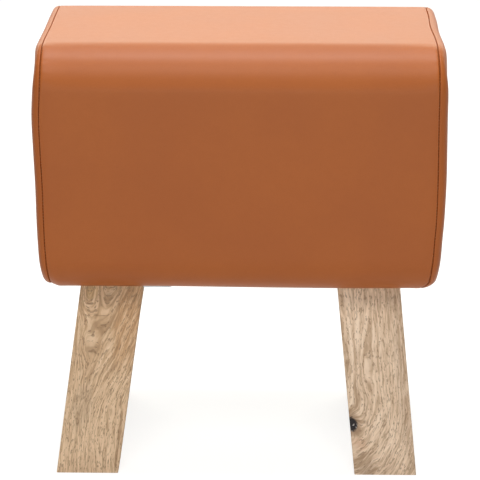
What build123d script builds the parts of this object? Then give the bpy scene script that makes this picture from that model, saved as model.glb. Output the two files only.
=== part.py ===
from build123d import *
import math
import os

# An upholstered stool bench: a leather-covered box body on four splayed plank legs.
# Millimetres, Z up. The origin is on the floor under the centre of the body.
# X runs along the body and the front faces -Y.

# Body, over the leather
seat_height = 500.0
body_height = 279.0
body_depth = 270.0
seam_span = 432.0
top_edge_radius = 45.5
bottom_edge_radius = 41.5
end_rise = 16.0
end_rim_radius = 7.0
rim_turns = (18, 36, 54, 68)
dome_shares = (0.1, 0.2, 0.32, 0.46, 0.62, 0.8)
dome_power = 1.7

# Leather cover
leather_thickness = 1.5
seam_allowance = 9.0
seam_round = 1.2
seam_shoulder = 2.0
seam_gap = 0.8
thread_depth = 1.0
thread_height = 0.9
wrap_margin = 23.5
flap_clearance = 2.0
flap_reach = 48.0

# Foam
foam_clearance = 0.3
front_foam = 21.7
seat_foam = 26.0
end_foam = 21.0

# Plywood box
board_thickness = 12.0
base_thickness = 18.0
base_edge_land = 2.0
block_width = 40.0
block_clearance_height = 20.0
rib_window_radius = 55.0

# Wood screws of the box
box_screw_length = 35.0
box_screw_diameter = 4.0
box_screw_head = 8.0
screw_clearance = 0.2
long_screw_x_shares = (-0.72, -0.25, 0.25, 0.72)
end_screw_y = 60.0
rib_screw_y = 50.0
end_screw_z_shares = (0.2, 0.5, 0.8)
block_screw_z_shares = (0.35, 0.65)

# Legs
leg_width = 71.0
leg_thickness = 40.0
leg_top_x = 145.0
leg_front_setback = 38.0
left_leg_lean = 8.0
right_leg_lean = 5.8
rear_left_leg_lean = 9.3
leg_depth_lean = 6.7
leg_edge_radius = 1.5

# Leg plates
plate_thickness = 3.0
plate_edge_inset = 5.0
plate_reach_x = 32.0
plate_reach_y = 30.0
plate_corner_radius = 6.0
bolt_edge_distance = 16.0
bolt_clearance = 0.3
plate_clearance = 0.3

# Bolts and tee nuts
bolt_diameter = 6.0
bolt_length = 25.0
bolt_head_across_flats = 10.0
bolt_head_height = 4.0
bolt_flange_diameter = 14.0
bolt_flange_thickness = 1.2
tee_nut_flange_diameter = 19.0
tee_nut_flange_thickness = 1.5
tee_nut_barrel_diameter = 8.4
tee_nut_barrel_length = 12.0

# Leg screws
leg_screw_length = 40.0
leg_screw_diameter = 5.0
leg_screw_head = 9.5
leg_screw_spread = 22.0
leg_screw_stagger = 9.0

# Dust cover and staples
dust_cover_thickness = 0.7
dust_cover_border = 10.0
dust_cover_end_border = 25.0
staple_crown = 10.0
staple_wire_width = 1.2
staple_wire_thickness = 0.6
staple_leg_length = 8.0
staple_clearance = 0.1
staple_pitch = 33.0
staple_edge_distance = 8.0
dust_staple_pitch = 30.0

# Cuts run past faces by this much
overrun = 5.0

# Heights and half lengths worked out from the sizes above
underside = seat_height - body_height
mid_height = underside + body_height / 2
half_depth = body_depth / 2
half_seam = seam_span / 2
flat_half_depth = half_depth - bottom_edge_radius
margin_half_depth = flat_half_depth - wrap_margin
panel_start = half_seam + seam_gap / 2
wrap_end = half_seam - seam_gap / 2
cover_inside = leather_thickness + foam_clearance
flap_width = 2 * (margin_half_depth - flap_clearance)

box_half_length = half_seam - end_foam
box_half_depth = half_depth - cover_inside - front_foam
box_bottom = underside + leather_thickness
box_floor = box_bottom + base_thickness
box_top = seat_height - cover_inside - seat_foam
wall_top = box_top - board_thickness
wall_height = wall_top - box_floor

dust_cover_top = underside - staple_wire_thickness
dust_cover_bottom = dust_cover_top - dust_cover_thickness
dust_half_length = half_seam - dust_cover_end_border
dust_half_depth = flat_half_depth - dust_cover_border
leg_top = dust_cover_bottom
plate_bottom = leg_top - plate_thickness
leg_top_y = half_depth - leg_front_setback - leg_thickness / 2

side_names = {-1: "left", 1: "right"}
end_names = {-1: "front", 1: "rear"}
leg_leans = {
    (-1, -1): left_leg_lean,
    (1, -1): right_leg_lean,
    (-1, 1): rear_left_leg_lean,
    (1, 1): right_leg_lean,
}
bottom_centre = (Align.CENTER, Align.CENTER, Align.MIN)
top_centre = (Align.CENTER, Align.CENTER, Align.MAX)


def finish(part, name):
    """Label a piece and write its file."""
    part.label = name
    export_step(part, f"parts/{name}.step")


def body_section(inset, fullness=1):
    """The body's upright cross-section, drawn in by inset, then shrunk about its middle."""
    with BuildSketch(Plane.XY, mode=Mode.PRIVATE) as section:
        with Locations((0, mid_height)):
            Rectangle((body_depth - 2 * inset) * fullness, (body_height - 2 * inset) * fullness)
        fillet(section.vertices().group_by(Axis.Y)[-1], (top_edge_radius - inset) * fullness)
        fillet(section.vertices().group_by(Axis.Y)[0], (bottom_edge_radius - inset) * fullness)
    return section.sketch_local


def section_prism(x_from, x_to, inset, mode=Mode.ADD):
    """A straight length of the body's cross-section between two places along X."""
    with BuildSketch(Plane.YZ.offset(min(x_from, x_to)), mode=Mode.PRIVATE) as start:
        add(body_section(inset))
    extrude(start.sketch, amount=abs(x_to - x_from), mode=mode)


def dome_stations(wall):
    """Outward place, inset and fullness along the domed end, wall deep under its surface."""
    rim = end_rim_radius - wall
    stations = [(max(wall, seam_shoulder), wall, 1)]
    for degrees in rim_turns:
        turn = math.radians(degrees)
        out = seam_shoulder + rim * math.sin(turn)
        stations.append((out, end_rim_radius - rim * math.cos(turn), 1))
    rim_out, rim_inset, _ = stations[-1]
    for share in dome_shares:
        swell = (1 - (1 - share) ** dome_power) / (1 - (1 - dome_shares[-1]) ** dome_power)
        out = rim_out + (end_rise - wall - rim_out) * swell
        stations.append((out, rim_inset, 1 - share))
    return stations


def dome(side, wall, mode=Mode.ADD):
    """The domed end's solid, wall deep under its surface."""
    sections = []
    for out, inset, fullness in dome_stations(wall):
        with BuildSketch(Plane.YZ.offset(side * (panel_start + out)), mode=Mode.PRIVATE) as place:
            add(body_section(inset, fullness))
        sections.append(place.sketch)
    loft(sections, ruled=True, mode=mode)


def open_underside(reach, mode=Mode.SUBTRACT):
    """The opening under the body between the turned-in leather margins."""
    with Locations((0, 0, underside)):
        Box(2 * (half_seam + reach), 2 * margin_half_depth, 2 * seam_allowance, mode=mode)


def box_profile():
    """The plywood box's cross-section, with the base board's lower edges bevelled."""
    with BuildSketch(Plane.XY, mode=Mode.PRIVATE) as profile:
        with BuildLine():
            Polyline(
                (-flat_half_depth, box_bottom),
                (flat_half_depth, box_bottom),
                (box_half_depth, box_floor - base_edge_land),
                (box_half_depth, box_top),
                (-box_half_depth, box_top),
                (-box_half_depth, box_floor - base_edge_land),
                close=True,
            )
        make_face()
    return profile.sketch_local


def countersunk(places, length, diameter, head, clearance=0, mode=Mode.ADD):
    """Countersunk screws, or with a clearance their holes, each pointing down its place's Z."""
    radius = diameter / 2 + clearance
    head_radius = head / 2 + clearance
    with Locations(*places):
        Cylinder(radius, length + clearance, align=top_centre, mode=mode)
        Cone(radius, head_radius, head_radius - radius, align=top_centre, mode=mode)


def box_screws(places, clearance=0, mode=Mode.ADD):
    """The plywood box's screws, or their holes."""
    countersunk(places, box_screw_length, box_screw_diameter, box_screw_head, clearance, mode)


def staples(places, clearance=0, mode=Mode.ADD):
    """Wire staples whose crowns lie under their places and whose legs point up."""
    width = staple_wire_width + 2 * clearance
    thickness = staple_wire_thickness + 2 * clearance
    leg_centre = (staple_crown - staple_wire_thickness) / 2
    with Locations(*places):
        if clearance == 0:
            Box(staple_crown, width, staple_wire_thickness, align=top_centre, mode=mode)
        with Locations((-leg_centre, 0, 0), (leg_centre, 0, 0)):
            Box(thickness, width, staple_leg_length + clearance, align=bottom_centre, mode=mode)


# Places of the box's screws
long_board_y = box_half_depth - board_thickness / 2
end_board_x = box_half_length - board_thickness / 2
inner_half_length = box_half_length - board_thickness
inner_half_depth = box_half_depth - board_thickness
block_x = inner_half_length - block_width / 2
block_y = inner_half_depth - block_width / 2

top_long_screws = [
    Location((share * inner_half_length, end * long_board_y, box_top))
    for share in long_screw_x_shares
    for end in (-1, 1)
]
top_end_screws = [
    Location((side * end_board_x, end * end_screw_y, box_top)) for side in (-1, 1) for end in (-1, 1)
]
top_rib_screws = [Location((0, end * rib_screw_y, box_top)) for end in (-1, 1)]
base_end_screws = [
    Location((side * end_board_x, end * end_screw_y, box_bottom), (180, 0, 0))
    for side in (-1, 1)
    for end in (-1, 1)
]
base_rib_screws = [Location((0, end * rib_screw_y, box_bottom), (180, 0, 0)) for end in (-1, 1)]


def end_board_screws(side):
    """Screws through an end board into the long boards and the corner blocks."""
    places = []
    for end in (-1, 1):
        for share in end_screw_z_shares:
            z = box_floor + share * wall_height
            places.append(Location((side * box_half_length, end * long_board_y, z), (0, side * 90, 0)))
        for share in block_screw_z_shares:
            z = box_floor + share * wall_height
            places.append(Location((side * box_half_length, end * block_y, z), (0, side * 90, 0)))
    return places


side_screws = end_board_screws(-1) + end_board_screws(1)

# Places of the staples
wrap_staple_y = margin_half_depth + staple_edge_distance
wrap_staple_count = int(2 * (box_half_length - staple_edge_distance) / staple_pitch)
wrap_staples = [
    Location(((place - wrap_staple_count / 2) * staple_pitch, end * wrap_staple_y, underside))
    for place in range(wrap_staple_count + 1)
    for end in (-1, 1)
]
flap_staple_x = half_seam - flap_reach + staple_edge_distance
flap_staple_count = int((flap_width - staple_crown) / staple_pitch)
flap_staples = [
    Location((side * flap_staple_x, (place - flap_staple_count / 2) * staple_pitch, underside), (0, 0, 90))
    for place in range(flap_staple_count + 1)
    for side in (-1, 1)
]
cover_staples = wrap_staples + flap_staples

# The dust cover's staples keep clear of the leg plates
plate_inner_x = leg_top_x - leg_width / 2 - plate_reach_x
dust_long_y = dust_half_depth - staple_edge_distance
dust_long_count = int(2 * (plate_inner_x - staple_crown) / dust_staple_pitch)
dust_long_staples = [
    Location(((place - dust_long_count / 2) * dust_staple_pitch, end * dust_long_y, dust_cover_bottom))
    for place in range(dust_long_count + 1)
    for end in (-1, 1)
]
dust_end_x = dust_half_length - staple_edge_distance
dust_end_count = int(2 * (margin_half_depth - staple_crown) / dust_staple_pitch)
dust_end_staples = [
    Location(
        (side * dust_end_x, (place - dust_end_count / 2) * dust_staple_pitch, dust_cover_bottom),
        (0, 0, 90),
    )
    for place in range(dust_end_count + 1)
    for side in (-1, 1)
]
dust_staples = dust_long_staples + dust_end_staples


def plate_bolt_places(side, end, z):
    """Where one leg plate's bolts pass a height z."""
    inner_x = leg_top_x - leg_width / 2 - bolt_edge_distance
    inner_y = leg_top_y - leg_thickness / 2 - plate_reach_y + bolt_edge_distance
    spots = [
        (inner_x, leg_top_y - leg_thickness / 2 + bolt_edge_distance / 2),
        (inner_x, inner_y),
        (leg_top_x - bolt_edge_distance, inner_y),
        (leg_top_x + bolt_edge_distance, inner_y),
    ]
    return [Location((side * x, end * y, z)) for x, y in spots]


def all_bolt_places(z):
    """Where all the leg plates' bolts pass a height z."""
    places = []
    for side in (-1, 1):
        for end in (-1, 1):
            places += plate_bolt_places(side, end, z)
    return places


def leg_screw_places(side, end):
    """Where one leg's screws start, on its plate's upper face."""
    outer_y = end * (leg_top_y + leg_screw_stagger)
    inner_y = end * (leg_top_y - leg_screw_stagger)
    x = side * leg_top_x
    spots = [(x - leg_screw_spread, outer_y), (x + leg_screw_spread, outer_y), (x, inner_y)]
    return [Location((*spot, dust_cover_bottom)) for spot in spots]


def plate_outline(side, end, clearance=0):
    """One leg plate's outline, or with a clearance its rebate's."""
    length = leg_width - plate_edge_inset + plate_reach_x + 2 * clearance
    width = leg_thickness - plate_edge_inset + plate_reach_y + 2 * clearance
    x = leg_top_x - (plate_reach_x + plate_edge_inset) / 2
    y = leg_top_y - (plate_reach_y + plate_edge_inset) / 2
    with Locations((side * x, end * y)):
        RectangleRounded(length, width, plate_corner_radius + clearance)


os.makedirs("parts", exist_ok=True)

# Plywood box
base_bolt_radius = tee_nut_barrel_diameter / 2 + bolt_clearance
with BuildPart() as base_board:
    with BuildSketch(Plane.YZ.offset(-box_half_length)):
        add(box_profile())
    extrude(amount=2 * box_half_length)
    with Locations((0, 0, box_floor)):
        Box(
            2 * (box_half_length + overrun),
            2 * (box_half_depth + overrun),
            body_height,
            align=bottom_centre,
            mode=Mode.SUBTRACT,
        )
    box_screws(base_end_screws + base_rib_screws, screw_clearance, Mode.SUBTRACT)
    with Locations(*all_bolt_places(box_floor)):
        Cylinder(base_bolt_radius, 2 * base_thickness + overrun, mode=Mode.SUBTRACT)
    staples(cover_staples, staple_clearance, Mode.SUBTRACT)
    staples(dust_staples, staple_clearance, Mode.SUBTRACT)
finish(base_board.part, "base_board")

with BuildPart() as top_board:
    with Locations((0, 0, box_top)):
        Box(2 * box_half_length, 2 * box_half_depth, board_thickness, align=top_centre)
    box_screws(top_long_screws + top_end_screws + top_rib_screws, screw_clearance, Mode.SUBTRACT)
finish(top_board.part, "top_board")

for end in (-1, 1):
    with BuildPart() as long_board:
        with Locations((0, end * long_board_y, box_floor)):
            Box(2 * inner_half_length, board_thickness, wall_height, align=bottom_centre)
        box_screws(top_long_screws + side_screws, screw_clearance, Mode.SUBTRACT)
    finish(long_board.part, f"{end_names[end]}_board")

for side in (-1, 1):
    with BuildPart() as end_board:
        with Locations((side * end_board_x, 0, box_floor)):
            Box(board_thickness, 2 * box_half_depth, wall_height, align=bottom_centre)
        box_screws(top_end_screws + base_end_screws + side_screws, screw_clearance, Mode.SUBTRACT)
    finish(end_board.part, f"{side_names[side]}_end_board")

with BuildPart() as centre_rib:
    with Locations((0, 0, box_floor)):
        Box(board_thickness, 2 * inner_half_depth, wall_height, align=bottom_centre)
    with BuildSketch(Plane.YZ.offset(-board_thickness)):
        with Locations((0, box_floor + wall_height / 2)):
            Circle(rib_window_radius)
    extrude(amount=2 * board_thickness, mode=Mode.SUBTRACT)
    box_screws(top_rib_screws + base_rib_screws, screw_clearance, Mode.SUBTRACT)
finish(centre_rib.part, "centre_rib")

for side in (-1, 1):
    for end in (-1, 1):
        with BuildPart() as corner_block:
            with Locations((side * block_x, end * block_y, box_floor + block_clearance_height)):
                Box(
                    block_width,
                    block_width,
                    wall_height - block_clearance_height,
                    align=bottom_centre,
                )
            box_screws(side_screws, screw_clearance, Mode.SUBTRACT)
        finish(corner_block.part, f"{end_names[end]}_{side_names[side]}_corner_block")

with BuildPart() as frame_screws:
    box_screws(top_long_screws + top_end_screws + top_rib_screws)
    box_screws(base_end_screws + base_rib_screws + side_screws)
finish(frame_screws.part, "frame_screws")

# Foam
with BuildPart() as foam_wrap:
    section_prism(-box_half_length, box_half_length, cover_inside)
    with BuildSketch(Plane.YZ.offset(-box_half_length - overrun)):
        add(box_profile())
        with Locations((0, underside)):
            Rectangle(2 * flat_half_depth, 2 * (leather_thickness + overrun))
    extrude(amount=2 * (box_half_length + overrun), mode=Mode.SUBTRACT)
finish(foam_wrap.part, "foam_wrap")

for side in (-1, 1):
    lip_start = wrap_end - leather_thickness - foam_clearance
    lip_end = panel_start + max(cover_inside, seam_shoulder)
    with BuildPart() as end_pad:
        section_prism(side * box_half_length, side * lip_start, cover_inside)
        section_prism(side * lip_start, side * lip_end, seam_allowance + foam_clearance)
        dome(side, cover_inside)
    finish(end_pad.part, f"{side_names[side]}_end_foam")

# Leather cover
with BuildPart() as leather_wrap:
    section_prism(-wrap_end, wrap_end, 0)
    cut_ends = leather_wrap.faces().sort_by(Axis.X)
    fillet(cut_ends[0].edges() + cut_ends[-1].edges(), seam_round)
    inside_end = wrap_end - leather_thickness
    section_prism(-inside_end, inside_end, leather_thickness, Mode.SUBTRACT)
    section_prism(-wrap_end - overrun, wrap_end + overrun, seam_allowance, Mode.SUBTRACT)
    open_underside(overrun)
    staples(wrap_staples, staple_clearance, Mode.SUBTRACT)
    staples(dust_long_staples, staple_clearance, Mode.SUBTRACT)
finish(leather_wrap.part, "leather_wrap")

flap_length = flap_reach + seam_gap / 2 + seam_shoulder
for side in (-1, 1):
    shoulder_end = side * (panel_start + seam_shoulder)
    with BuildPart() as end_panel:
        section_prism(side * panel_start, shoulder_end, 0)
        seam_face = end_panel.faces().sort_by(Axis.X)[0 if side == 1 else -1]
        fillet(seam_face.edges(), seam_round)
        dome(side, 0)
        section_prism(
            side * (panel_start + leather_thickness), shoulder_end, leather_thickness, Mode.SUBTRACT
        )
        dome(side, leather_thickness, Mode.SUBTRACT)
        section_prism(side * half_seam, shoulder_end, seam_allowance, Mode.SUBTRACT)
        with Locations((side * (half_seam - flap_reach + flap_length / 2), 0, underside)):
            Box(flap_length, flap_width, leather_thickness, align=bottom_centre)
        staples(flap_staples + dust_end_staples, staple_clearance, Mode.SUBTRACT)
    finish(end_panel.part, f"{side_names[side]}_end_panel")

for side in (-1, 1):
    with BuildPart() as seam_thread:
        section_prism(side * wrap_end, side * panel_start, thread_depth)
        section_prism(side * wrap_end, side * panel_start, thread_depth + thread_height, Mode.SUBTRACT)
        open_underside(overrun)
    finish(seam_thread.part, f"{side_names[side]}_seam_thread")

with BuildPart() as leather_staples:
    staples(cover_staples)
finish(leather_staples.part, "leather_staples")

# Dust cover
with BuildPart() as dust_cover:
    with Locations((0, 0, dust_cover_bottom)):
        Box(2 * dust_half_length, 2 * dust_half_depth, dust_cover_thickness, align=bottom_centre)
    with Locations(*all_bolt_places(underside)):
        Cylinder(bolt_diameter / 2 + bolt_clearance, base_thickness, mode=Mode.SUBTRACT)
    staples(dust_staples, staple_clearance, Mode.SUBTRACT)
finish(dust_cover.part, "dust_cover")

with BuildPart() as dust_cover_staples:
    staples(dust_staples)
finish(dust_cover_staples.part, "dust_cover_staples")

# Legs with their plates, screws, bolts and tee nuts
for side in (-1, 1):
    for end in (-1, 1):
        leg_name = f"{end_names[end]}_{side_names[side]}_leg"
        foot_dx = side * leg_top * math.tan(math.radians(leg_leans[side, end]))
        foot_dy = end * leg_top * math.tan(math.radians(leg_depth_lean))
        foot_x = side * leg_top_x + foot_dx
        foot_y = end * leg_top_y + foot_dy
        leg_length = math.hypot(foot_dx, foot_dy, leg_top)

        with BuildPart() as leg:
            with BuildSketch() as foot:
                with Locations((foot_x, foot_y)):
                    Rectangle(leg_width, leg_thickness)
            extrude(amount=leg_length, dir=(-foot_dx, -foot_dy, leg_top))
            fillet(leg.edges().group_by(SortBy.LENGTH)[-1], leg_edge_radius)
            with BuildSketch(Plane.XY.offset(plate_bottom)):
                plate_outline(side, end, plate_clearance)
            extrude(amount=plate_thickness + overrun, mode=Mode.SUBTRACT)
            countersunk(
                leg_screw_places(side, end),
                leg_screw_length,
                leg_screw_diameter,
                leg_screw_head,
                screw_clearance,
                Mode.SUBTRACT,
            )
        finish(leg.part, leg_name)

        with BuildPart() as leg_plate:
            with BuildSketch(Plane.XY.offset(plate_bottom)):
                plate_outline(side, end)
            extrude(amount=plate_thickness)
            with Locations(*plate_bolt_places(side, end, plate_bottom)):
                Cylinder(bolt_diameter / 2 + bolt_clearance, 2 * base_thickness, mode=Mode.SUBTRACT)
            countersunk(
                leg_screw_places(side, end),
                leg_screw_length,
                leg_screw_diameter,
                leg_screw_head,
                screw_clearance,
                Mode.SUBTRACT,
            )
        finish(leg_plate.part, f"{leg_name}_plate")

        with BuildPart() as leg_screws:
            countersunk(
                leg_screw_places(side, end), leg_screw_length, leg_screw_diameter, leg_screw_head
            )
        finish(leg_screws.part, f"{leg_name}_screws")

        with BuildPart() as plate_bolts:
            with Locations(*plate_bolt_places(side, end, plate_bottom)):
                Cylinder(bolt_diameter / 2, bolt_length, align=bottom_centre)
                Cylinder(bolt_flange_diameter / 2, bolt_flange_thickness, align=top_centre)
            with BuildSketch(Plane.XY.offset(plate_bottom - bolt_flange_thickness)):
                with Locations(*plate_bolt_places(side, end, 0)):
                    RegularPolygon(bolt_head_across_flats / 2, 6, major_radius=False)
            extrude(amount=-bolt_head_height)
        finish(plate_bolts.part, f"{leg_name}_plate_bolts")

        with BuildPart() as tee_nuts:
            with Locations(*plate_bolt_places(side, end, box_floor)):
                Cylinder(tee_nut_flange_diameter / 2, tee_nut_flange_thickness, align=bottom_centre)
                Cylinder(tee_nut_barrel_diameter / 2, tee_nut_barrel_length, align=top_centre)
                Cylinder(bolt_diameter / 2 + bolt_clearance, 2 * base_thickness, mode=Mode.SUBTRACT)
        finish(tee_nuts.part, f"{leg_name}_tee_nuts")
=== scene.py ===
import math

import bmesh
import bpy
from mathutils import Matrix, Vector, noise


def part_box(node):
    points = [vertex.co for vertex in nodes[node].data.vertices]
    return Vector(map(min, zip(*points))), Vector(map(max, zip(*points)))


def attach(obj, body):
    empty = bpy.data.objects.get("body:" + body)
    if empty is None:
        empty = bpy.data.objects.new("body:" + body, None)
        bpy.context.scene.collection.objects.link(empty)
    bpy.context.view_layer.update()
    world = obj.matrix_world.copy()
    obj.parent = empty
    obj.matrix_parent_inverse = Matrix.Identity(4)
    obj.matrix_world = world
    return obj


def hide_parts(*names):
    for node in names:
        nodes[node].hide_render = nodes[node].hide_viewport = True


# The looks of an upholstered stool bench: tan leather over foam, on four splayed wooden legs.
# Metres, Z up. X runs along the body and the front faces -Y.

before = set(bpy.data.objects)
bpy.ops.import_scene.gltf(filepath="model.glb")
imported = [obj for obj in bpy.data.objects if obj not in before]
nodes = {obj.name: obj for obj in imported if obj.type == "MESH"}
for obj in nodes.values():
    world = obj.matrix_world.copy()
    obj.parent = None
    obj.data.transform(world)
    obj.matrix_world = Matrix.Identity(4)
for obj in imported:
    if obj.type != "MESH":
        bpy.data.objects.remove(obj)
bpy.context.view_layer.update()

MM = 0.001

# The body's form, over the leather
wrap_low, wrap_high = (Vector(corner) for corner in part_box("leather_wrap"))
panel_high = Vector(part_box("right_end_panel")[1])
wrap_end = wrap_high.x
half_depth = wrap_high.y
underside = wrap_low.z
half_height = (wrap_high.z - underside) / 2
mid_height = underside + half_height
top_edge_radius = 45.5 * MM
bottom_edge_radius = 41.5 * MM
leather_thickness = 1.5 * MM
seam_gap = 0.8 * MM
seam_allowance = 8 * MM
seam_round = 1.0 * MM
panel_start = wrap_end + seam_gap
end_rise = panel_high.x - panel_start
seam_shoulder = 2 * MM
end_rim_radii = {-1: 5.4 * MM, 1: 6.8 * MM}
end_rim_turn = math.radians(84)
corner_flatness = 0.2
low_flatness = {-1: 0.0, 1: 0.09}
dome_power = 1.7
wrap_margin = 23.5 * MM
flap_half_width = 68 * MM
flap_reach = 48 * MM
foam_slack = 0.6 * MM
foam_inset = leather_thickness + foam_slack

# How the foam swells the leather, whose ends start lower by the room that they then fill
swell_frames = 20
swell_most = 0.8 * MM
swell_room = 0.6 * MM
calming_rounds = 60

# How finely the leather is divided before it is smoothed
top_arc_steps = 24
bottom_arc_steps = 16
flat_step = 8 * MM
seam_steps = [1.4 * MM, 3 * MM, 5 * MM, 8 * MM, 12 * MM, 18 * MM, 26 * MM]
rim_steps = 8
dome_shares = (0.02, 0.05, 0.09, 0.14, 0.2, 0.27, 0.35, 0.43, 0.52, 0.61, 0.7, 0.79, 0.87, 0.94)

flat_half_top = half_depth - top_edge_radius
flat_half_bottom = half_depth - bottom_edge_radius
margin_half_depth = flat_half_bottom - wrap_margin
box_half_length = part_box("base_board")[1][0]
flat_top_z = wrap_high.z - top_edge_radius
flat_bottom_z = underside + bottom_edge_radius

# How far each end is drawn in at a height above the floor, where the hand-pulled leather
# bows out in the middle and tucks in over the corners, in pairs of height and distance
end_draws = {
    -1: ((221, 4.2), (240, 2.9), (262, 1.3), (300, 0.1), (345, -0.2), (385, -1.2),
         (424, -1.9), (455, -0.2), (475, 0.4), (500, 0.6)),
    1: ((221, 8.0), (238, 5.4), (262, 2.7), (285, 1.4), (308, 0.1), (354, -0.4),
        (401, 0.2), (424, 0.5), (447, 0.6), (480, 0.9), (500, 2.0)),
}
draw_reach = 75 * MM

# Where the top's ends are hollow, and how the seams and the lower edges run out of true
top_hollows = {-1: 0.5 * MM, 1: 1.4 * MM}
top_hollow_y = -8 * MM
top_hollow_half = 62 * MM
seam_hook = 6.5 * MM
seam_hook_reach = 30 * MM
seam_hook_rise = 17 * MM
left_lift = 3.4 * MM
left_lift_start = 206 * MM
left_lift_end = 217 * MM
belly_sag = 1.3 * MM
belly_sag_x = 80 * MM
belly_sag_half = 190 * MM
belly_sag_inner = flat_half_bottom - 5 * MM
belly_sag_outer = flat_half_bottom + 14 * MM

# The small folds beside the seams, and the ridge where the foam swells up beside them
pucker_reach = 16 * MM
pucker_fade = 5 * MM
pucker_start = 1.2 * MM
pucker_height = 0.75 * MM
low_pucker_share = 0.45
seam_ridge = 0.7 * MM
seam_ridge_place = 3.5 * MM
low_ridge_share = 0.4


class Wire:
    """A shader socket that can be written in sums."""

    def __init__(self, finish, socket):
        self.finish = finish
        self.socket = socket

    def _sum(self, operation, *terms):
        inputs = dict(enumerate(terms))
        return self.finish.node("ShaderNodeMath", {"operation": operation}, inputs)

    def __add__(self, other):
        return self._sum("ADD", self, other)

    def __radd__(self, other):
        return self._sum("ADD", other, self)

    def __sub__(self, other):
        return self._sum("SUBTRACT", self, other)

    def __rsub__(self, other):
        return self._sum("SUBTRACT", other, self)

    def __mul__(self, other):
        return self._sum("MULTIPLY", self, other)

    def __rmul__(self, other):
        return self._sum("MULTIPLY", other, self)

    def __truediv__(self, other):
        return self._sum("DIVIDE", self, other)

    def __rtruediv__(self, other):
        return self._sum("DIVIDE", other, self)

    def __pow__(self, other):
        return self._sum("POWER", self, other)


class Finish:
    """A material whose nodes are written as expressions."""

    def __init__(self, name, tree=None):
        if tree is None:
            self.material = bpy.data.materials.new(name)
            self.material.use_nodes = True
            tree = self.material.node_tree
        self.tree = tree
        self.tree.nodes.clear()

    def node(self, kind, settings=None, inputs=None, out=0):
        """Add a node with its settings and inputs, and return one of its outputs."""
        made = self.tree.nodes.new(kind)
        for name, value in (settings or {}).items():
            if name == "stops":
                fill_ramp(made.color_ramp, value)
            else:
                setattr(made, name, value)
        for name, value in (inputs or {}).items():
            if isinstance(value, Wire):
                self.tree.links.new(value.socket, made.inputs[name])
            else:
                made.inputs[name].default_value = value
        return Wire(self, made.outputs[out]) if made.outputs else None

    def place(self):
        """The point on the piece, in metres."""
        return self.node("ShaderNodeTexCoord", out="Object")

    def split(self, vector):
        """The three parts of a vector."""
        made = self.node("ShaderNodeSeparateXYZ", inputs={"Vector": vector})
        outputs = made.socket.node.outputs
        return [Wire(self, outputs[axis]) for axis in "XYZ"]

    def join(self, x, y, z):
        """A vector of three parts."""
        return self.node("ShaderNodeCombineXYZ", inputs={"X": x, "Y": y, "Z": z})

    def stretch(self, vector, scale):
        """A vector scaled by a different amount along each axis."""
        return self.node(
            "ShaderNodeVectorMath", {"operation": "MULTIPLY"}, {0: vector, 1: scale}
        )

    def noise(self, vector, scale, detail=2.0, roughness=0.5, distortion=0.0):
        """Soft noise from 0 to 1, about 0.5."""
        inputs = {
            "Vector": vector,
            "Scale": scale,
            "Detail": detail,
            "Roughness": roughness,
            "Distortion": distortion,
        }
        return self.node("ShaderNodeTexNoise", inputs=inputs)

    def line_noise(self, place, scale, detail=2.0, roughness=0.5):
        """Noise along a single number."""
        inputs = {"W": place, "Scale": scale, "Detail": detail, "Roughness": roughness}
        return self.node("ShaderNodeTexNoise", {"noise_dimensions": "1D"}, inputs)

    def cells(self, vector, scale, feature="F1"):
        """Distance in a pattern of cells."""
        settings = {"feature": feature}
        return self.node("ShaderNodeTexVoronoi", settings, {"Vector": vector, "Scale": scale})

    def fade(self, value, low, high):
        """A smooth step that goes from 0 at low to 1 at high."""
        settings = {"interpolation_type": "SMOOTHSTEP"}
        inputs = {"Value": value, "From Min": low, "From Max": high}
        return self.node("ShaderNodeMapRange", settings, inputs)

    def blend(self, amount, first, second):
        """A colour between two colours."""
        inputs = {0: amount, 6: first, 7: second}
        return self.node("ShaderNodeMix", {"data_type": "RGBA"}, inputs, out=2)

    def ramp(self, value, stops):
        """A colour read off a ramp."""
        return self.node("ShaderNodeValToRGB", {"stops": stops}, {"Fac": value})

    def bump(self, height, distance, strength=1.0, under=None):
        """A normal from a height, in metres at a height of 1."""
        inputs = {"Height": height, "Distance": distance, "Strength": strength}
        if under is not None:
            inputs["Normal"] = under
        return self.node("ShaderNodeBump", inputs=inputs)

    def surface(self, **inputs):
        """Close the material with one principled surface."""
        names = {name.replace("_", " "): value for name, value in inputs.items()}
        shader = self.node("ShaderNodeBsdfPrincipled", inputs=names)
        self.node("ShaderNodeOutputMaterial", inputs={"Surface": shader})
        return self.material


def fill_ramp(ramp, stops):
    """Put stops of place and colour on a ramp."""
    while len(ramp.elements) < len(stops):
        ramp.elements.new(1.0)
    for element, (place, colour) in zip(ramp.elements, stops):
        element.position = place
        element.color = colour


def colour(red, green, blue):
    """A colour given in sRGB steps of 0 to 255."""
    linear = []
    for step in (red, green, blue):
        share = step / 255
        linear.append(share / 12.92 if share <= 0.04045 else ((share + 0.055) / 1.055) ** 2.4)
    return (*linear, 1.0)


# Leather
def leather_finish():
    """Smooth tan leather with a fine grain, painted shade in its creases, and a satin coat."""
    skin = Finish("tan_leather")
    place = skin.place()
    clouds = skin.noise(place, 9, 3.0, 0.55)
    mottle = skin.noise(place, 120, 3.0, 0.6)
    pores = skin.cells(place, 900)
    creases = skin.cells(place, 520, "DISTANCE_TO_EDGE")
    tan = skin.blend(skin.fade(clouds, 0.3, 0.7), colour(163, 85, 27), colour(169, 90, 30))
    tan = skin.blend((mottle - 0.5) * 0.5 + 0.25, tan, colour(157, 81, 25))
    grain = skin.fade(creases, 0.0, 0.16)
    # Painted shade: the creases of the grain are darkened towards a dark brown.
    tan = skin.blend((1 - grain) * 0.10, tan, colour(124, 60, 19))
    roughness = 0.47 + (clouds - 0.5) * 0.06 + (mottle - 0.5) * 0.05
    height = grain * 0.55 + pores * 0.45 + mottle * 0.5
    return skin.surface(
        Base_Color=tan,
        Roughness=roughness,
        Specular_IOR_Level=0.33,
        Normal=skin.bump(height, 0.03 * MM, 0.55),
    )


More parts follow.
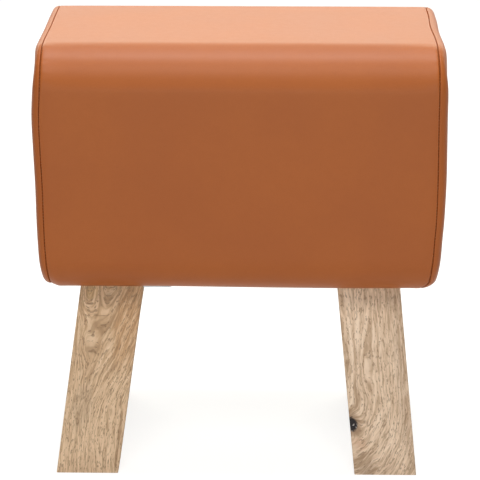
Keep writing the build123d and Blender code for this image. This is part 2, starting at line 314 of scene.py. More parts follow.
# Wood
def mango_finish(name, leg, look):
    """Mango wood whose fibres flow along one leg and round its knots and eyes."""
    low, high = (Vector(corner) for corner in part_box(leg))
    side = 1 if high.x > 0 else -1
    end = 1 if high.y > 0 else -1
    half_width = Vector((side * leg_width / 2, end * leg_thickness / 2))
    foot = Vector((high.x if side > 0 else low.x, high.y if end > 0 else low.y)) - half_width
    head = Vector((low.x if side > 0 else high.x, low.y if end > 0 else high.y)) + half_width
    lean = (head - foot) / (high.z - low.z)

    wood = Finish(name)
    x, y, z = wood.split(wood.place())
    across = x - z * lean.x - foot.x
    through = (y - z * lean.y - foot.y) * end + leg_thickness / 2
    grain = wood.join(across, through, z)

    # Fibres follow lines of equal flow: upright, turning across below the heart of the leg
    wander = wood.noise(wood.stretch(grain, (16.0, 16.0, 9.0)), 1.0, 2.0, 0.5)
    ripple = wood.noise(wood.stretch(grain, (70.0, 70.0, 34.0)), 1.0, 2.0, 0.5)
    rise = wood.node("ShaderNodeMath", {"operation": "MAXIMUM"}, {0: z - look["slant_z"], 1: 0.0})
    from_heart = across - look["heart_across"] - rise * look["slant"]
    below = wood.node("ShaderNodeMath", {"operation": "MAXIMUM"}, {0: look["heart_z"] - z, 1: 0.0})
    deep = through - look["heart_depth"]
    flow = (from_heart * from_heart + below * below * look["turn"] + deep * deep) ** 0.5
    flow = flow + (wander - 0.5) * look["wander"] + (ripple - 0.5) * look["ripple"]
    for eye_across, eye_z, eye_width, eye_height, pull in look["eyes"]:
        aside = (across - eye_across) / eye_width
        above = (z - eye_z) / eye_height
        flow = flow + pull / (1 + aside * aside + above * above)

    rings = wood.line_noise(flow, 330, 2.0, 0.6)
    drift = flow + across * 0.25
    fibres = wood.noise(wood.join(drift * 620, through * 620, z * 52), 1.0, 2.0, 0.65)
    vessels = wood.noise(wood.join(drift * 860, through * 860, z * 230), 1.0, 1.0, 0.5)
    streaks = wood.noise(wood.join(drift * 190, through * 190, z * 20), 1.0, 2.0, 0.6)
    clouds = wood.noise(wood.stretch(grain, (26.0, 26.0, 13.0)), 1.0, 3.0, 0.55)

    tone = rings * 0.42 + streaks * 0.32 + clouds * 0.26
    timber = wood.ramp(wood.fade(tone, 0.3, 0.7), [
        (0.0, look["dark"]),
        (0.5, look["middle"]),
        (1.0, look["pale"]),
    ])
    near_foot = (1 - wood.fade(z, *look["fade"])) * look["foot_share"]
    timber = wood.blend(near_foot, timber, look["foot"])
    for patch_across, patch_z, patch_width, patch_height, strength, tint in look["patches"]:
        aside = (across - patch_across) / patch_width
        above = (z - patch_z) / patch_height
        spread = aside * aside + above * above + (ripple - 0.5) * 0.9 + (streaks - 0.5) * 0.8
        timber = wood.blend((1 - wood.fade(spread, 0.35, 1.3)) * strength, timber, tint)
    timber = wood.blend((1 - wood.fade(fibres, 0.36, 0.5)) * 0.6, timber, look["dark"])
    timber = wood.blend(wood.fade(fibres, 0.5, 0.64) * 0.45, timber, look["pale"])
    flecks = 1 - wood.fade(vessels, 0.33, 0.41)
    timber = wood.blend(flecks * 0.6, timber, look["fleck"])

    # Knots, black where they have died back, with pale crumbs in them
    for knot_across, knot_z, knot_width, knot_height in look["knots"]:
        aside = (across - knot_across) / knot_width
        above = (z - knot_z) / knot_height
        inward = (leg_thickness - through) / knot_depth
        spread = aside * aside + above * above + inward * inward
        ragged = spread + (ripple - 0.5) * 1.6 + (vessels - 0.5) * 0.6
        timber = wood.blend((1 - wood.fade(ragged, 0.8, 2.6)) * 0.55, timber, colour(132, 98, 70))
        timber = wood.blend(1 - wood.fade(ragged, 0.45, 0.95), timber, colour(30, 24, 24))
        crumbs = wood.fade(wood.noise(grain, 380, 1.0, 0.5), 0.56, 0.62)
        crumbs = crumbs * (1 - wood.fade(spread, 0.4, 1.0))
        crumbs = crumbs * wood.fade(knot_z - z, -1 * MM, 1 * MM)
        timber = wood.blend(crumbs, timber, colour(176, 168, 162))

    height = fibres * 0.6 - flecks * 0.9 + rings * 0.3
    return wood.surface(
        Base_Color=timber,
        Roughness=0.64 + (fibres - 0.5) * 0.2,
        Specular_IOR_Level=0.28,
        Normal=wood.bump(height, 0.12 * MM, 0.7),
    )


def plywood_finish(name, thin_axis):
    """Plywood with its plies stacked along one axis."""
    board = Finish(name)
    place = board.place()
    parts = board.split(place)
    depth = parts["XYZ".index(thin_axis)] / (1.5 * MM)
    ply = board.node("ShaderNodeMath", {"operation": "PINGPONG"}, {0: depth, 1: 1.0})
    scales = {"X": (300.0, 14.0, 90.0), "Y": (14.0, 300.0, 90.0), "Z": (14.0, 90.0, 300.0)}
    figure = board.noise(board.stretch(place, scales[thin_axis]), 1.0, 3.0, 0.6, 0.6)
    veneer = board.ramp(figure, [
        (0.3, colour(170, 128, 84)),
        (0.55, colour(205, 168, 120)),
        (0.75, colour(222, 190, 146)),
    ])
    veneer = board.blend(board.fade(ply, 0.4, 0.6) * 0.35, veneer, colour(140, 98, 62))
    return board.surface(
        Base_Color=veneer,
        Roughness=0.7 + (figure - 0.5) * 0.2,
        Normal=board.bump(figure, 0.1 * MM, 0.5),
    )


def softwood_finish():
    """Planed softwood with upright grain."""
    block = Finish("softwood")
    figure = block.noise(block.stretch(block.place(), (160.0, 160.0, 6.0)), 1.0, 3.0, 0.6, 0.4)
    timber = block.ramp(figure, [
        (0.3, colour(198, 150, 96)),
        (0.6, colour(228, 194, 146)),
    ])
    return block.surface(
        Base_Color=timber,
        Roughness=0.65 + (figure - 0.5) * 0.2,
        Normal=block.bump(figure, 0.1 * MM, 0.5),
    )


def foam_finish():
    """Open-celled upholstery foam."""
    foam = Finish("foam")
    place = foam.place()
    cells = foam.cells(place, 650)
    age = foam.noise(place, 14, 2.0, 0.5)
    cream = foam.blend(foam.fade(age, 0.35, 0.7), colour(236, 226, 190), colour(222, 202, 150))
    cream = foam.blend(foam.fade(cells, 0.2, 0.6) * 0.4, cream, colour(178, 160, 116))
    return foam.surface(
        Base_Color=cream,
        Roughness=0.92 - cells * 0.1,
        Normal=foam.bump(cells, 0.5 * MM, 0.8),
    )


def thread_finish():
    """Dark brown twisted sewing thread."""
    thread = Finish("thread")
    place = thread.place()
    twist = thread.noise(place, 2600, 1.0, 0.5)
    brown = thread.blend(twist, colour(126, 58, 22), colour(162, 80, 34))
    return thread.surface(
        Base_Color=brown,
        Roughness=0.8 + (twist - 0.5) * 0.2,
        Specular_IOR_Level=0.1,
        Normal=thread.bump(twist, 0.1 * MM, 0.8),
    )


def cloth_finish():
    """Black bonded-fibre cloth with its embossed dots."""
    cloth = Finish("black_cloth")
    place = cloth.place()
    fibres = cloth.noise(place, 1400, 3.0, 0.7, 1.5)
    x, y, z = cloth.split(place)
    along = cloth.node("ShaderNodeMath", {"operation": "SINE"}, {0: (x + y) * 2600})
    aslant = cloth.node("ShaderNodeMath", {"operation": "SINE"}, {0: (x - y) * 2600})
    dots = cloth.fade(along * aslant, 0.35, 0.7)
    black = cloth.blend(fibres, colour(22, 22, 24), colour(50, 50, 53))
    black = cloth.blend(dots * 0.5, black, colour(16, 16, 18))
    return cloth.surface(
        Base_Color=black,
        Roughness=0.85 - dots * 0.25,
        Normal=cloth.bump(fibres * 0.6 - dots * 0.5, 0.12 * MM, 0.8),
    )


def steel_finish():
    """Zinc-plated steel with faint spangle and scuffs."""
    steel = Finish("zinc_steel")
    place = steel.place()
    spangle = steel.cells(place, 160)
    scuffs = steel.noise(steel.stretch(place, (90.0, 900.0, 400.0)), 1.0, 3.0, 0.6)
    grey = steel.blend(spangle * 0.6, colour(186, 188, 190), colour(158, 161, 165))
    grey = steel.blend(steel.fade(scuffs, 0.55, 0.75) * 0.3, grey, colour(128, 130, 132))
    return steel.surface(
        Base_Color=grey,
        Metallic=1.0,
        Roughness=0.34 + (scuffs - 0.5) * 0.25,
        Normal=steel.bump(scuffs, 0.02 * MM, 0.4),
    )


# Shapes of the leather body
def section_normal(y, z):
    """The outward direction of the body's section at a point of its outline."""
    flat_y = flat_half_top if z > mid_height else flat_half_bottom
    centre_y = max(-flat_y, min(flat_y, y))
    centre_z = max(flat_bottom_z, min(flat_top_z, z))
    return Vector((0, y - centre_y, z - centre_z)).normalized()


def slice_across(shape, axis, places):
    """Cut new edge rings across a shape at places along an axis."""
    normal = Vector((axis == "X", axis == "Y", axis == "Z"))
    for place in places:
        everything = shape.verts[:] + shape.edges[:] + shape.faces[:]
        bmesh.ops.bisect_plane(shape, geom=everything, plane_co=normal * place, plane_no=normal)


def even_places(low, high, step):
    """Places that divide a length evenly, about a step apart, without its ends."""
    count = max(1, round((high - low) / step))
    return [low + (high - low) * place / count for place in range(1, count)]


def section_tube(x_low, x_high, inset=0.0):
    """The body's skin between two places along X, open at both ends, with divided flats."""
    shape = bmesh.new()
    bmesh.ops.create_cube(shape, size=1.0)
    size = (x_high - x_low, 2 * (half_depth - inset), 2 * (half_height - inset))
    bmesh.ops.scale(shape, vec=size, verts=shape.verts)
    bmesh.ops.translate(shape, vec=((x_low + x_high) / 2, 0, mid_height), verts=shape.verts)
    for above in (True, False):
        long_edges = [
            edge
            for edge in shape.edges
            if abs((edge.verts[0].co - edge.verts[1].co).x) > seam_gap
            and (edge.verts[0].co.z > mid_height) == above
        ]
        bmesh.ops.bevel(
            shape,
            geom=long_edges,
            offset=(top_edge_radius if above else bottom_edge_radius) - inset,
            offset_type="OFFSET",
            affect="EDGES",
            segments=top_arc_steps if above else bottom_arc_steps,
            profile=0.5,
            material=-1,
        )
    ends = [face for face in shape.faces if abs(face.normal.x) > 0.9]
    bmesh.ops.delete(shape, geom=ends, context="FACES_ONLY")
    slice_across(shape, "Z", even_places(flat_bottom_z, flat_top_z, flat_step))
    inner = even_places(-flap_half_width, flap_half_width, flat_step)
    margins = [-margin_half_depth, -flap_half_width, flap_half_width, margin_half_depth]
    outer = even_places(margin_half_depth, flat_half_top, flat_step)
    slice_across(shape, "Y", inner + margins + outer + [-place for place in outer])
    return shape


def turn_in(shape, x_place, skip=None):
    """Turn the skin's open end in at a seam, and round the fold."""
    rim = [
        edge
        for edge in shape.edges
        if edge.is_boundary and all(abs(vert.co.x - x_place) < seam_gap / 4 for vert in edge.verts)
        and not (skip and all(skip(vert.co) for vert in edge.verts))
    ]
    folded = bmesh.ops.extrude_edge_only(shape, edges=rim)
    for vert in folded["geom"]:
        if isinstance(vert, bmesh.types.BMVert):
            vert.co -= section_normal(vert.co.y, vert.co.z) * seam_allowance
    bmesh.ops.bevel(
        shape,
        geom=rim,
        offset=seam_round,
        offset_type="OFFSET",
        affect="EDGES",
        segments=3,
        profile=0.5,
        material=-1,
    )


def finished_piece(shape, name, material):
    """Make an object of a shape that rides on the bench."""
    mesh = bpy.data.meshes.new(name)
    shape.to_mesh(mesh)
    shape.free()
    mesh.shade_smooth()
    piece = bpy.data.objects.new(name, mesh)
    bpy.context.scene.collection.objects.link(piece)
    piece.data.materials.append(material)
    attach(piece, "root")
    return piece


def smoothed(piece):
    """Divide a piece's mesh once and keep the smooth result."""
    divide = piece.modifiers.new("smooth", "SUBSURF")
    divide.levels = 1
    divide.render_levels = 1
    graph = bpy.context.evaluated_depsgraph_get()
    mesh = bpy.data.meshes.new_from_object(piece.evaluated_get(graph))
    piece.modifiers.remove(divide)
    old = piece.data
    piece.data = mesh
    mesh.name = piece.name
    bpy.data.meshes.remove(old)


def calmed(mesh, moves, held):
    """Even out the moves of a mesh's points with their neighbours', and keep held points still."""
    pinned = [held(vert.co) for vert in mesh.vertices]
    pairs = [tuple(edge.vertices) for edge in mesh.edges]
    for _ in range(calming_rounds):
        sums = [Vector() for _ in moves]
        counts = [0] * len(moves)
        for first, second in pairs:
            sums[first] += moves[second]
            sums[second] += moves[first]
            counts[first] += 1
            counts[second] += 1
        moves = [
            Vector() if fixed else (move + total / max(1, count)) / 2
            for fixed, move, total, count in zip(pinned, moves, sums, counts)
        ]
    return moves


def swollen(piece, held, most):
    """Let the foam press the leather outwards as cloth between its held points."""
    scene = bpy.context.scene
    start = [vert.co.copy() for vert in piece.data.vertices]
    pins = piece.vertex_groups.new(name="pins")
    pins.add([index for index, point in enumerate(start) if held(point)], 1.0, "REPLACE")
    cloth = piece.modifiers.new("swell", "CLOTH")
    cloth.settings.quality = 5
    cloth.settings.mass = 0.6
    cloth.settings.tension_stiffness = 40
    cloth.settings.compression_stiffness = 40
    cloth.settings.shear_stiffness = 15
    cloth.settings.bending_stiffness = 6
    cloth.settings.use_pressure = True
    cloth.settings.uniform_pressure_force = 4
    cloth.settings.vertex_group_mass = "pins"
    cloth.settings.effector_weights.gravity = 0
    cloth.point_cache.frame_start = 1
    cloth.point_cache.frame_end = swell_frames
    for step in range(1, swell_frames + 1):
        scene.frame_set(step)
    graph = bpy.context.evaluated_depsgraph_get()
    evaluated = piece.evaluated_get(graph)
    pressed = evaluated.to_mesh()
    moves = [vert.co - point for vert, point in zip(pressed.vertices, start)]
    evaluated.to_mesh_clear()
    piece.modifiers.remove(cloth)
    piece.vertex_groups.remove(pins)
    scene.frame_set(1)
    for vert, point, move in zip(piece.data.vertices, start, calmed(piece.data, moves, held)):
        share = math.tanh(move.length / most) * most / move.length if move.length > 0 else 0.0
        vert.co = point + move * share


def curve_through(points, place):
    """The height at a place of a smooth curve through points."""
    if place <= points[0][0]:
        return points[0][1]
    for index in range(len(points) - 1):
        (start, low), (stop, high) = points[index], points[index + 1]
        if place > stop:
            continue
        before = points[max(0, index - 1)]
        after = points[min(len(points) - 1, index + 2)]
        leave = (high - before[1]) / (stop - before[0]) * (stop - start)
        arrive = (after[1] - low) / (after[0] - start) * (stop - start)
        t = (place - start) / (stop - start)
        return (
            low * (2 * t**3 - 3 * t**2 + 1)
            + leave * (t**3 - 2 * t**2 + t)
            + high * (3 * t**2 - 2 * t**3)
            + arrive * (t**3 - t**2)
        )
    return points[-1][1]


def step_between(value, low, high):
    """A smooth step that goes from 0 at low to 1 at high."""
    share = max(0.0, min(1.0, (value - low) / (high - low)))
    return share * share * (3 - 2 * share)


def drawn_in(point):
    """Where a point of the plain body lies once the leather is pulled tight at the ends."""
    side = 1 if point.x > 0 else -1
    reach = step_between(abs(point.x), wrap_end - draw_reach, wrap_end)
    draw = curve_through(end_draws[side], point.z / MM) * MM
    aside = (point.y - top_hollow_y) / top_hollow_half
    if abs(aside) < 1:
        high = step_between(point.z, flat_top_z, wrap_high.z)
        draw += top_hollows[side] * (1 - aside * aside) ** 2 * high
    moved = point.copy()
    moved.x -= side * reach * draw
    along = (point.x - belly_sag_x) / belly_sag_half
    if abs(along) < 1 and point.z < flat_bottom_z:
        low = step_between(abs(point.y), belly_sag_inner, belly_sag_outer)
        low *= step_between(flat_bottom_z - point.z, 0, bottom_edge_radius / 2)
        moved.z -= belly_sag * (1 - along * along) ** 2 * low
    if side < 0:
        low = step_between(flat_bottom_z - point.z, 0, bottom_edge_radius)
        moved.z += left_lift * low * step_between(abs(point.x), left_lift_start, left_lift_end)
    else:
        fade_length = seam_hook_reach if point.x < wrap_end else end_rise
        near = 1 - step_between(abs((abs(point.x) - wrap_end) / fade_length), 0, 1)
        low = 1 - step_between(point.z, underside, underside + seam_hook_rise)
        beside_flap = step_between(abs(point.y), flap_half_width, flat_half_bottom)
        moved.x -= seam_hook * near * low * beside_flap
    return moved


def draw_ends(piece):
    """Pull the ends of a piece in as the leather is."""
    for vert in piece.data.vertices:
        vert.co = drawn_in(vert.co)


def pucker(piece, side):
    """Ruffle the leather beside a seam, most where the seam turns over the upper edges."""
    for vert in piece.data.vertices:
        from_seam = abs(vert.co.x - side * (wrap_end + seam_gap / 2)) - seam_gap / 2
        if from_seam > pucker_reach or side * vert.co.x < 0:
            continue
        outward = section_normal(vert.co.y, vert.co.z)
        if outward.length == 0:
            continue
        turned = 4 * outward.y * outward.y * outward.z * outward.z
        share = turned if outward.z > 0 else low_pucker_share * turned
        angle = math.atan2(outward.z, outward.y)
        wave = noise.noise(Vector((angle * 9.5, side * 3.1, 0.7)))
        wave += 0.6 * noise.noise(Vector((angle * 21, side * 5.3, 2.9)))
        fade = math.exp(-from_seam / pucker_fade) * min(1, from_seam / pucker_start + 0.35)
        vert.co += outward * wave * share * fade * pucker_height
        if side * vert.co.x < wrap_end and outward.y < 0:
            swell = from_seam / seam_ridge_place * math.exp(1 - from_seam / seam_ridge_place)
            swell *= min(1.0, turned * 3 + 0.15) * (1.0 if outward.z > 0 else low_ridge_share)
            vert.co += outward * seam_ridge * swell


def give_thickness(piece):
    """Give leather its thickness, inwards from its outer face."""
    wall = piece.modifiers.new("thickness", "SOLIDIFY")
    wall.thickness = leather_thickness
    wall.offset = -1
    wall.use_even_offset = True


def held_on_body(point):
    """Whether the sewing or the staples hold a point of the body's leather."""
    if abs(point.x) > wrap_end - seam_round - seam_gap:
        return True
    return point.z < underside + seam_gap and abs(point.y) < flat_half_bottom


def held_on_end(point):
    """Whether the sewing or the staples hold a point of an end panel."""
    return abs(point.x) < panel_start + seam_round + seam_gap


def body_cover(material):
    """The sheet of leather over the top, front and back, stapled under the body."""
    shape = section_tube(-wrap_end, wrap_end)
    places = [side * (wrap_end - step) for side in (-1, 1) for step in seam_steps]
    reach = wrap_end - seam_steps[-1]
    slice_across(shape, "X", places + even_places(-reach, reach, flat_step))
    opening = [
        face
        for face in shape.faces
        if face.normal.z < -0.9 and abs(face.calc_center_median().y) < margin_half_depth
    ]
    bmesh.ops.delete(shape, geom=opening, context="FACES")
    for side in (-1, 1):
        turn_in(shape, side * wrap_end)
    bmesh.ops.recalc_face_normals(shape, faces=shape.faces)
    piece = finished_piece(shape, "body_cover", material)
    swollen(piece, held_on_body, swell_most)
    smoothed(piece)
    pucker(piece, -1)
    pucker(piece, 1)
    draw_ends(piece)
    give_thickness(piece)
    return piece


def boundary_at(shape, x_place):
    """The open edges of a shape at a place along X."""
    return [
        edge
        for edge in shape.edges
        if edge.is_boundary and all(abs(vert.co.x - x_place) < seam_gap / 4 for vert in edge.verts)
    ]


def end_form(side, back, inset, room=0.0):
    """One domed end of the body, from a place behind its seam outwards.

    The inset draws its whole skin in, and the room lowers its dome.
    """
    start = side * back
    edge = side * (panel_start + seam_shoulder)
    shape = section_tube(min(start, edge), max(start, edge), inset)
    cap = bmesh.ops.contextual_create(shape, geom=boundary_at(shape, edge))["faces"][0]
    rim_place = shape.verts.layers.float_vector.new("rim")
    for vert in cap.verts:
        vert[rim_place] = vert.co
    rim_radius = end_rim_radii[side] - inset
    stations = []
    for step in range(1, rim_steps + 1):
        turn = end_rim_turn * step / rim_steps
        stations.append((rim_radius * math.sin(turn), rim_radius * (1 - math.cos(turn)), 0))
    rim_out, rim_inset, _ = stations[-1]
    full_rise = end_rise - inset - room - seam_shoulder - rim_out
    for share in dome_shares:
        stations.append((rim_out + full_rise * (1 - (1 - share) ** dome_power), rim_inset, share))
    centre = Vector((0, 0, mid_height))
    for out, inwards, share in stations:
        cap = bmesh.ops.extrude_discrete_faces(shape, faces=[cap])["faces"][0]
        for vert in cap.verts:
            base = Vector(vert[rim_place])
            base.x = 0
            outward = section_normal(base.y, base.z)
            flatness = corner_flatness * 4 * outward.y**2 * outward.z**2 * (outward.z > 0)
            flatness += low_flatness[side] * step_between(mid_height - base.z, 0, half_height / 2)
            flatness *= 1 - step_between(share, 0.0, 0.5)
            base = centre + (base - outward * inwards - centre) * (1 - share)
            vert.co = base + Vector((edge + side * out * (1 - flatness), 0, 0))
    bmesh.ops.poke(shape, faces=[cap])
    return shape


def on_tongue(point):
    """Whether a point of an end panel's edge belongs to the tongue under the body."""
    return point.z < underside + seam_round and abs(point.y) < flap_half_width + seam_round


def end_cover(side, name, material):
    """The domed leather panel of one end, with the tongue that is stapled under the body."""
    start = side * panel_start
    shape = end_form(side, panel_start, 0.0, swell_room)
    rim = boundary_at(shape, start)
    root = [edge for edge in rim if all(on_tongue(vert.co) for vert in edge.verts)]
    tongue = bmesh.ops.extrude_edge_only(shape, edges=root)
    tip = [item for item in tongue["geom"] if isinstance(item, bmesh.types.BMVert)]
    bmesh.ops.translate(shape, verts=tip, vec=(-side * flap_reach, 0, 0))
    turn_in(shape, start, on_tongue)
    bmesh.ops.recalc_face_normals(shape, faces=shape.faces)
    piece = finished_piece(shape, name, material)
    swollen(piece, held_on_end, swell_most)
    smoothed(piece)
    pucker(piece, side)
    draw_ends(piece)
    give_thickness(piece)
    return piece


def end_pad(side, name, material):
    """The foam behind one end panel, from the plywood box out to the leather."""
    shape = end_form(side, box_half_length, foam_inset)
    bmesh.ops.contextual_create(shape, geom=boundary_at(shape, side * box_half_length))
    bmesh.ops.recalc_face_normals(shape, faces=shape.faces)
    piece = finished_piece(shape, name, material)
    points = piece.data.vertices
    glued = [point for point in points if side * point.co.x < box_half_length + seam_gap]
    draw_ends(piece)
    for point in glued:
        point.co.x = side * box_half_length
    return piece


def seat_pad(name, material):
    """The foam wrapped over the plywood box, taken from the plain form of the frame."""
    shape = bmesh.new()
    shape.from_mesh(nodes["foam_wrap"].data)
    bmesh.ops.remove_doubles(shape, verts=shape.verts, dist=0.01 * MM)
    slice_across(shape, "X", even_places(-box_half_length, box_half_length, 4 * flat_step))
    slice_across(shape, "Z", even_places(flat_bottom_z, flat_top_z, 4 * flat_step))
    for vert in shape.verts:
        outward = section_normal(vert.co.y, vert.co.z)
        if outward.length > 0:
            vert.co -= outward * foam_slack
    piece = finished_piece(shape, name, material)
    draw_ends(piece)
    return piece


def section_point(travel):
    """The point and direction at a travel round the body's section from the front's top edge."""
    corners = (
        (-flat_half_top, flat_top_z, top_edge_radius, 180),
        (-flat_half_bottom, flat_bottom_z, bottom_edge_radius, 270),
        (flat_half_bottom, flat_bottom_z, bottom_edge_radius, 0),
        (flat_half_top, flat_top_z, top_edge_radius, 90),
    )
    runs = (
        flat_top_z - flat_bottom_z,
        2 * flat_half_bottom,
        flat_top_z - flat_bottom_z,
        2 * flat_half_top,
    )
    heading = Vector((0, 0, -1))
    for (y, z, radius, angle), run, (next_y, next_z, next_radius, _) in zip(
        corners, runs, corners[1:] + corners[:1]
    ):
        turn = math.radians(angle)
        start = Vector((0, y + radius * math.cos(turn), z + radius * math.sin(turn)))
        if travel < run:
            return start + heading * travel, heading
        travel -= run
        arc = next_radius * math.pi / 2
        if travel < arc:
            turn = math.radians(angle) + travel / next_radius
            out = Vector((0, math.cos(turn), math.sin(turn)))
            heading = Vector((0, -math.sin(turn), math.cos(turn)))
            return Vector((0, next_y, next_z)) + out * next_radius, heading
        travel -= arc
        heading = Vector((0, -heading.z, heading.y))
    return start, heading


def section_length():
    """The way round the body's section."""
    arcs = math.pi * (top_edge_radius + bottom_edge_radius)
    return 2 * (flat_top_z - flat_bottom_z) + 2 * (flat_half_top + flat_half_bottom) + arcs


stitch_pitch = 3.6 * MM
stitch_length = 3.1 * MM
stitch_radius = 0.42 * MM
stitch_depth = 0.75 * MM


def seam_stitches(side, name, material):
    """The sewing thread that shows in the seam of one end."""
    shape = bmesh.new()
    count = round(section_length() / stitch_pitch)
    for stitch in range(count):
        point, heading = section_point(section_length() * (stitch + 0.5) / count)
        outward = section_normal(point.y, point.z)
        if outward.z < -0.9 and abs(point.y) < margin_half_depth:
            continue
        sideways = Vector((1, 0, 0))
        tilt = Matrix((sideways, outward, heading)).transposed().to_4x4()
        centre = point - outward * stitch_depth + sideways * side * (wrap_end + seam_gap / 2)
        bmesh.ops.create_cone(
            shape,
            cap_ends=True,
            cap_tris=False,
            segments=6,
            radius1=stitch_radius,
            radius2=stitch_radius,
            depth=stitch_length,
            matrix=Matrix.Translation(centre) @ tilt,
        )
    bmesh.ops.recalc_face_normals(shape, faces=shape.faces)
    piece = finished_piece(shape, name, material)
    draw_ends(piece)
    return piece


# Dust cover under the body
dust_low, dust_high = (Vector(corner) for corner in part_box("dust_cover"))
dust_sag = 1.6 * MM
dust_thickness = 0.4 * MM
dust_border = 12 * MM
dust_free_half = 60 * MM
dust_free_fade = 14 * MM


def dust_cloth(material):
    """The cloth stapled under the body, which sags a little between its staples."""
    size = dust_high - dust_low
    shape = bmesh.new()
    bmesh.ops.create_grid(shape, x_segments=66, y_segments=28, size=0.5)
    bmesh.ops.scale(shape, vec=(size.x, size.y, 1), verts=shape.verts)
    bmesh.ops.translate(shape, vec=(0, 0, dust_high.z), verts=shape.verts)
    for vert in shape.verts:
        from_side = (size.y / 2 - abs(vert.co.y)) / dust_border
        from_end = (size.x / 2 - abs(vert.co.x)) / dust_border
        free = min(1, max(0, from_side - 0.6)) * min(1, max(0, from_end - 0.9))
        clear = min(1, max(0, 1 - (abs(vert.co.x) - dust_free_half) / dust_free_fade))
        wave = 0.75 + 0.5 * noise.noise(Vector((vert.co.x * 22, vert.co.y * 34, 1.7)))
        vert.co.z -= dust_sag * free * clear * wave
    bmesh.ops.reverse_faces(shape, faces=shape.faces)
    piece = finished_piece(shape, "dust_cloth", material)
    wall = piece.modifiers.new("thickness", "SOLIDIFY")
    wall.thickness = dust_thickness
    wall.offset = -1
    return piece


# Legs, from the frame
leg_width = 71 * MM
leg_thickness = 40 * MM
knot_depth = 11 * MM

left_look = {
    "heart_across": -70 * MM,
    "heart_z": 120 * MM,
    "heart_depth": 3 * MM,
    "slant": 0.28,
    "slant_z": 80 * MM,
    "turn": 0.0,
    "wander": 14 * MM,
    "ripple": 4.5 * MM,
    "eyes": (
        (-25 * MM, 218 * MM, 15 * MM, 40 * MM, 40 * MM),
        (-24 * MM, 150 * MM, 13 * MM, 26 * MM, 16 * MM),
        (4 * MM, 50 * MM, 12 * MM, 60 * MM, 8 * MM),
    ),
    "knots": (),
    "dark": colour(164, 131, 97),
    "middle": colour(205, 170, 133),
    "pale": colour(238, 208, 173),
    "fleck": colour(128, 99, 72),
    "fade": (20 * MM, 170 * MM),
    "foot": colour(244, 213, 178),
    "foot_share": 0.5,
    "patches": (
        (24 * MM, 178 * MM, 17 * MM, 62 * MM, 0.4, colour(192, 140, 88)),
        (-22 * MM, 214 * MM, 7 * MM, 9 * MM, 0.5, colour(214, 180, 128)),
        (-16 * MM, 80 * MM, 14 * MM, 30 * MM, 0.3, colour(166, 146, 122)),
        (31 * MM, 34 * MM, 2 * MM, 40 * MM, 0.6, colour(136, 98, 62)),
        (-14 * MM, 162 * MM, 2 * MM, 2 * MM, 0.7, colour(120, 92, 66)),
    ),
}
right_look = {
    "heart_across": -38 * MM,
    "heart_z": 92 * MM,
    "heart_depth": 3 * MM,
    "slant": 0.0,
    "slant_z": 0.0,
    "turn": 0.55,
    "wander": 8 * MM,
    "ripple": 3.5 * MM,
    "eyes": (
        (-13 * MM, 132 * MM, 9 * MM, 40 * MM, 11 * MM),
        (-33 * MM, 59 * MM, 9 * MM, 10 * MM, 14 * MM),
    ),
    "knots": ((-32 * MM, 61 * MM, 6.5 * MM, 11 * MM),),
    "dark": colour(178, 148, 118),
    "middle": colour(226, 197, 167),
    "pale": colour(248, 223, 196),
    "fleck": colour(142, 114, 88),
    "fade": (0 * MM, 220 * MM),
    "foot": colour(226, 197, 167),
    "foot_share": 0.0,
    "patches": (
        (34 * MM, 120 * MM, 14 * MM, 130 * MM, 0.45, colour(166, 136, 108)),
        (-22 * MM, 12 * MM, 14 * MM, 16 * MM, 0.5, colour(152, 122, 92)),
        (-27 * MM, 36 * MM, 9 * MM, 8 * MM, 0.4, colour(212, 164, 132)),
    ),
}
looks = {"left": left_look, "right": right_look}

# Finishes of the pieces that keep their CAD shape
leather = leather_finish()
steel = steel_finish()
softwood = softwood_finish()
foam = foam_finish()
upright_ply = plywood_finish("plywood_upright", "Y")
end_ply = plywood_finish("plywood_end", "X")
flat_ply = plywood_finish("plywood_flat", "Z")


def dress(name, material):
    """Give a CAD node its finish."""
    for slot in nodes[name].material_slots:
        slot.material = material


for end in ("front", "rear"):
    dress(f"{end}_board", upright_ply)
    for side in ("left", "right"):
        leg = f"{end}_{side}_leg"
        dress(leg, mango_finish(f"mango_{end}_{side}", leg, looks[side]))
        dress(f"{end}_{side}_corner_block", softwood)
        for fitting in ("plate", "screws", "plate_bolts", "tee_nuts"):
            dress(f"{leg}_{fitting}", steel)
for side in ("left", "right"):
    dress(f"{side}_end_board", end_ply)
dress("centre_rib", end_ply)
dress("top_board", flat_ply)
dress("base_board", flat_ply)
for fixing in ("frame_screws", "leather_staples", "dust_cover_staples"):
    dress(fixing, steel)

# Leather, stitches and cloth
thread = thread_finish()
cover = body_cover(leather)
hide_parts("leather_wrap")
for side, side_name in ((-1, "left"), (1, "right")):
    panel = end_cover(side, f"{side_name}_end_cover", leather)
    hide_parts(f"{side_name}_end_panel")
    stitches = seam_stitches(side, f"{side_name}_seam_stitches", thread)
    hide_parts(f"{side_name}_seam_thread")
    pad = end_pad(side, f"{side_name}_end_pad", foam)
    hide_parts(f"{side_name}_end_foam")
seat = seat_pad("seat_pad", foam)
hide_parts("foam_wrap")
cloth = dust_cloth(cloth_finish())
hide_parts("dust_cover")


# Stage, light and camera
def plain_plane(name, size, height):
    """A flat square of floor."""
    shape = bmesh.new()
    bmesh.ops.create_grid(shape, x_segments=1, y_segments=1, size=size / 2)
    bmesh.ops.translate(shape, vec=(0, 0, height), verts=shape.verts)
    mesh = bpy.data.meshes.new(name)
    shape.to_mesh(mesh)
    shape.free()
    floor = bpy.data.objects.new(name, mesh)
    bpy.context.scene.collection.objects.link(floor)
    return floor


def seen_directly(finish):
    """1 for rays that show the stage itself, 0 for rays that only carry its light."""
    rays = [
        finish.node("ShaderNodeLightPath", out=out)
        for out in ("Is Camera Ray", "Is Glossy Ray", "Is Transmission Ray")
    ]
    return finish.fade(rays[0] + rays[1] + rays[2], 0.0, 1.0)


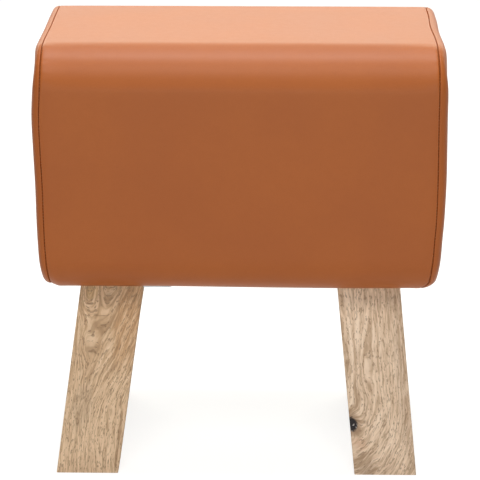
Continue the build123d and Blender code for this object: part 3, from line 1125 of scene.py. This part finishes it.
def floor_finish():
    """White paper that shows white and keeps the bench's shadow."""
    paper = Finish("white_paper")
    lit = paper.node("ShaderNodeBsdfDiffuse", inputs={"Color": (0.72, 0.72, 0.72, 1.0)})
    shown = paper.node("ShaderNodeBsdfDiffuse", inputs={"Color": (0.4, 0.4, 0.4, 1.0)})
    light = {"Color": (1.0, 1.0, 1.0, 1.0), "Strength": 0.78}
    white = paper.node("ShaderNodeEmission", inputs=light)
    shown = paper.node("ShaderNodeAddShader", inputs={0: shown, 1: white})
    mixed = paper.node("ShaderNodeMixShader", inputs={0: seen_directly(paper), 1: lit, 2: shown})
    paper.node("ShaderNodeOutputMaterial", inputs={"Surface": mixed})
    return paper.material


def studio_world(strength):
    """A white room that shows white and gives a soft light."""
    world = bpy.data.worlds.new("studio")
    world.use_nodes = True
    bpy.context.scene.world = world
    room = Finish("studio", world.node_tree)
    white = (1.0, 1.0, 1.0, 1.0)
    lit = room.node("ShaderNodeBackground", inputs={"Color": white, "Strength": strength})
    shown = room.node("ShaderNodeBackground", inputs={"Color": white, "Strength": 1.0})
    mixed = room.node("ShaderNodeMixShader", inputs={0: seen_directly(room), 1: lit, 2: shown})
    room.node("ShaderNodeOutputWorld", inputs={"Surface": mixed})


def soft_lamp(name, place, target, width, height, radiance, tint=(1.0, 1.0, 1.0)):
    """A soft panel of light that shines from a place at a target."""
    light = bpy.data.lights.new(name, "AREA")
    light.color = tint
    light.shape = "RECTANGLE"
    light.size = width
    light.size_y = height
    light.energy = radiance * math.pi * width * height
    lamp = bpy.data.objects.new(name, light)
    lamp.location = place
    lamp.rotation_euler = (Vector(target) - Vector(place)).to_track_quat("-Z", "Y").to_euler()
    lamp.visible_camera = False
    bpy.context.scene.collection.objects.link(lamp)


floor = plain_plane("floor", 16.0, -0.2 * MM)
floor.data.materials.append(floor_finish())
studio_world(0.1)
soft_lamp("above", (0, 0, 2.6), (0, 0, 0.4), 1.4, 0.6, 13.4)
soft_lamp("front", (0, -1.5, 2.2), (0, 0, 0.4), 1.4, 0.6, 8.7)
soft_lamp("low_front", (0, -3.0, 0.42), (0, 0, 0.15), 2.4, 0.8, 3.4)
soft_lamp("behind", (0, 0.8, 2.5), (0, 0, 0.4), 1.6, 0.8, 2.8)
soft_lamp("low_behind", (0, 2.2, 1.5), (0, 0, 0.45), 5.0, 0.7, 4.1, (1.0, 1.0, 0.8))

camera_data = bpy.data.cameras.new("camera")
camera_data.sensor_width = 36.0
camera_data.lens = 158.08
camera = bpy.data.objects.new("camera", camera_data)
camera.location = (38.67 * MM, -2334.2 * MM, 1034.16 * MM)
camera.rotation_euler = (math.radians(71.27), 0, math.radians(0.997))
bpy.context.scene.collection.objects.link(camera)
bpy.context.scene.camera = camera
bpy.context.scene.view_settings.view_transform = "Standard"
